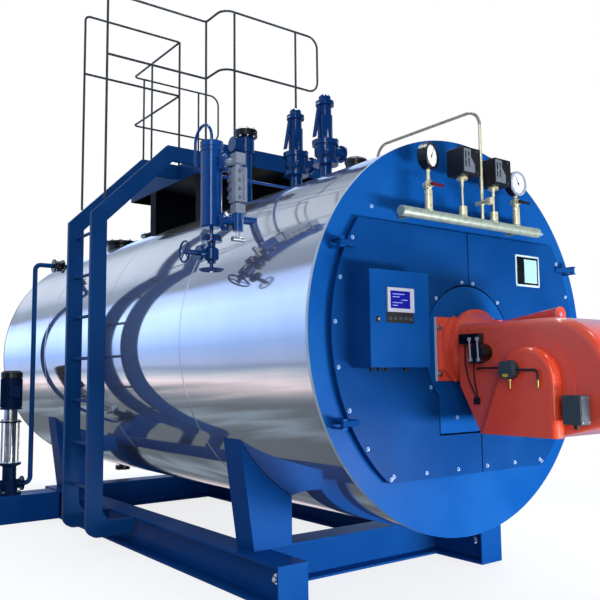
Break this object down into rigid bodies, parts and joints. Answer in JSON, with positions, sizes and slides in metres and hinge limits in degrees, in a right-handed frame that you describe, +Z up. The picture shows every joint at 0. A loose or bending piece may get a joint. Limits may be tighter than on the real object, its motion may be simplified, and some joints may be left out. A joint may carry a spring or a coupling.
{
  "type": "industrial boiler",
  "caption": "Horizontal fire-tube steam boiler on a steel skid, with hinged smokebox doors, burner, gauges, valves, feed pump, ladder and railed platform.",
  "frame": {"origin": "floor level under the shell's centre plane, at the middle of the front cross-beam's underside", "axes": "+Y back along the shell axis, away from the burner; +X to the right seen from the front; +Z up"},
  "size_m": [2.545, 6.209, 4.15],
  "materials": {
    "skid_paint": "navy blue gloss enamel",
    "front_paint": "bright blue gloss enamel",
    "stainless_cladding": "mirror-polished stainless steel sheet",
    "boiler_steel": "dark heat-resistant painted steel plate",
    "valve_paint": "blue gloss enamel over cast steel",
    "cast_gauge_steel": "zinc-plated steel",
    "black_fittings": "black enamel and moulded plastic",
    "rail_steel": "dark painted steel tube",
    "pipe_metal": "plated brass and galvanised pipe",
    "burner_red": "red gloss powder coat on sheet and castings",
    "grey_plastic": "grey moulded plastic",
    "pump_steel": "stainless pump column under a dark motor"
  },
  "bodies": {
    "root": {"blowdown_valve": "valve_paint", "burner_actuator": "black_fittings", "burner_air_hood": "burner_red", "burner_flange": "burner_red", "burner_housing": "burner_red", "burner_junction_box": "grey_plastic", "burner_leads": "black_fittings", "burner_motor": "burner_red", "burner_plate": "front_paint", "check_valve": "black_fittings", "door_hinges": "front_paint", "drain_nozzle": "black_fittings", "feed_pipe": "rail_steel", "feed_pump": "pump_steel", "flue_nozzle": "black_fittings", "front_plate": "front_paint", "furnace_throat": "boiler_steel", "gauge_manifold": "pipe_metal", "handrail_far": "rail_steel", "handrail_near": "rail_steel", "inspection_cap": "black_fittings", "ladder_rungs": "skid_paint", "ladder_stile_far": "skid_paint", "ladder_stile_near": "skid_paint", "level_gauge": "cast_gauge_steel", "manhole_cover": "black_fittings", "platform_deck": "skid_paint", "platform_support_front": "skid_paint", "platform_support_rear": "skid_paint", "pressure_controller_left": "black_fittings", "pressure_controller_right": "black_fittings", "pressure_gauge_left": "black_fittings", "pressure_gauge_right": "black_fittings", "pressure_switch": "grey_plastic", "pump_base": "skid_paint", "rear_plate": "boiler_steel", "saddle_front_left": "skid_paint", "saddle_front_right": "skid_paint", "saddle_rear_left": "skid_paint", "saddle_rear_right": "skid_paint", "safety_valve_front": "valve_paint", "safety_valve_rear": "valve_paint", "sensing_pipe": "pipe_metal", "shell_cladding": "stainless_cladding", "skid_beam_left": "skid_paint", "skid_beam_right": "skid_paint", "skid_cross_front": "skid_paint", "skid_cross_rear": "skid_paint", "steam_outlet": "valve_paint", "tube_sheet": "boiler_steel", "water_column": "valve_paint"},
    "front_door_left": {"front_door_left": "front_paint", "control_cabinet": "front_paint"},
    "front_door_right": {"front_door_right": "front_paint"},
    "cabinet_door": {"cabinet_door": "front_paint", "cabinet_display": "grey_plastic"},
    "gauge_lever_left": {"gauge_lever_left": "black_fittings"},
    "gauge_lever_right": {"gauge_lever_right": "black_fittings"},
    "side_handwheel": {"side_handwheel": "valve_paint"},
    "bottom_handwheel": {"bottom_handwheel": "valve_paint"}
  },
  "joints": [
    {"name": "front_door_left_hinge", "type": "hinge", "parent": "root", "child": "front_door_left", "pos_m": [-0.951, -1.11, 1.016], "axis": [0, 0, -1], "range_deg": [0, 110]},
    {"name": "front_door_right_hinge", "type": "hinge", "parent": "root", "child": "front_door_right", "pos_m": [0.951, -1.11, 1.016], "axis": [0, 0, 1], "range_deg": [0, 110]},
    {"name": "cabinet_door_hinge", "type": "hinge", "parent": "front_door_left", "child": "cabinet_door", "pos_m": [-0.455, -1.1953, 1.342], "axis": [0, 0, 1], "range_deg": [0, 100]},
    {"name": "gauge_lever_left_turn", "type": "hinge", "parent": "root", "child": "gauge_lever_left", "pos_m": [-0.396, -1.167, 2.236], "axis": [0, 1, 0], "range_deg": [0, 90]},
    {"name": "gauge_lever_right_turn", "type": "hinge", "parent": "root", "child": "gauge_lever_right", "pos_m": [0.33, -1.167, 2.236], "axis": [0, 1, 0], "range_deg": [0, 90]},
    {"name": "side_handwheel_turn", "type": "hinge", "parent": "root", "child": "side_handwheel", "pos_m": [-1.294, -0.162, 1.94], "axis": [-1, 0, 0], "range_deg": [0, 720]},
    {"name": "bottom_handwheel_turn", "type": "hinge", "parent": "root", "child": "bottom_handwheel", "pos_m": [-1.122, -0.162, 1.85], "axis": [0, 0, -1], "range_deg": [0, 720]}
  ]
}
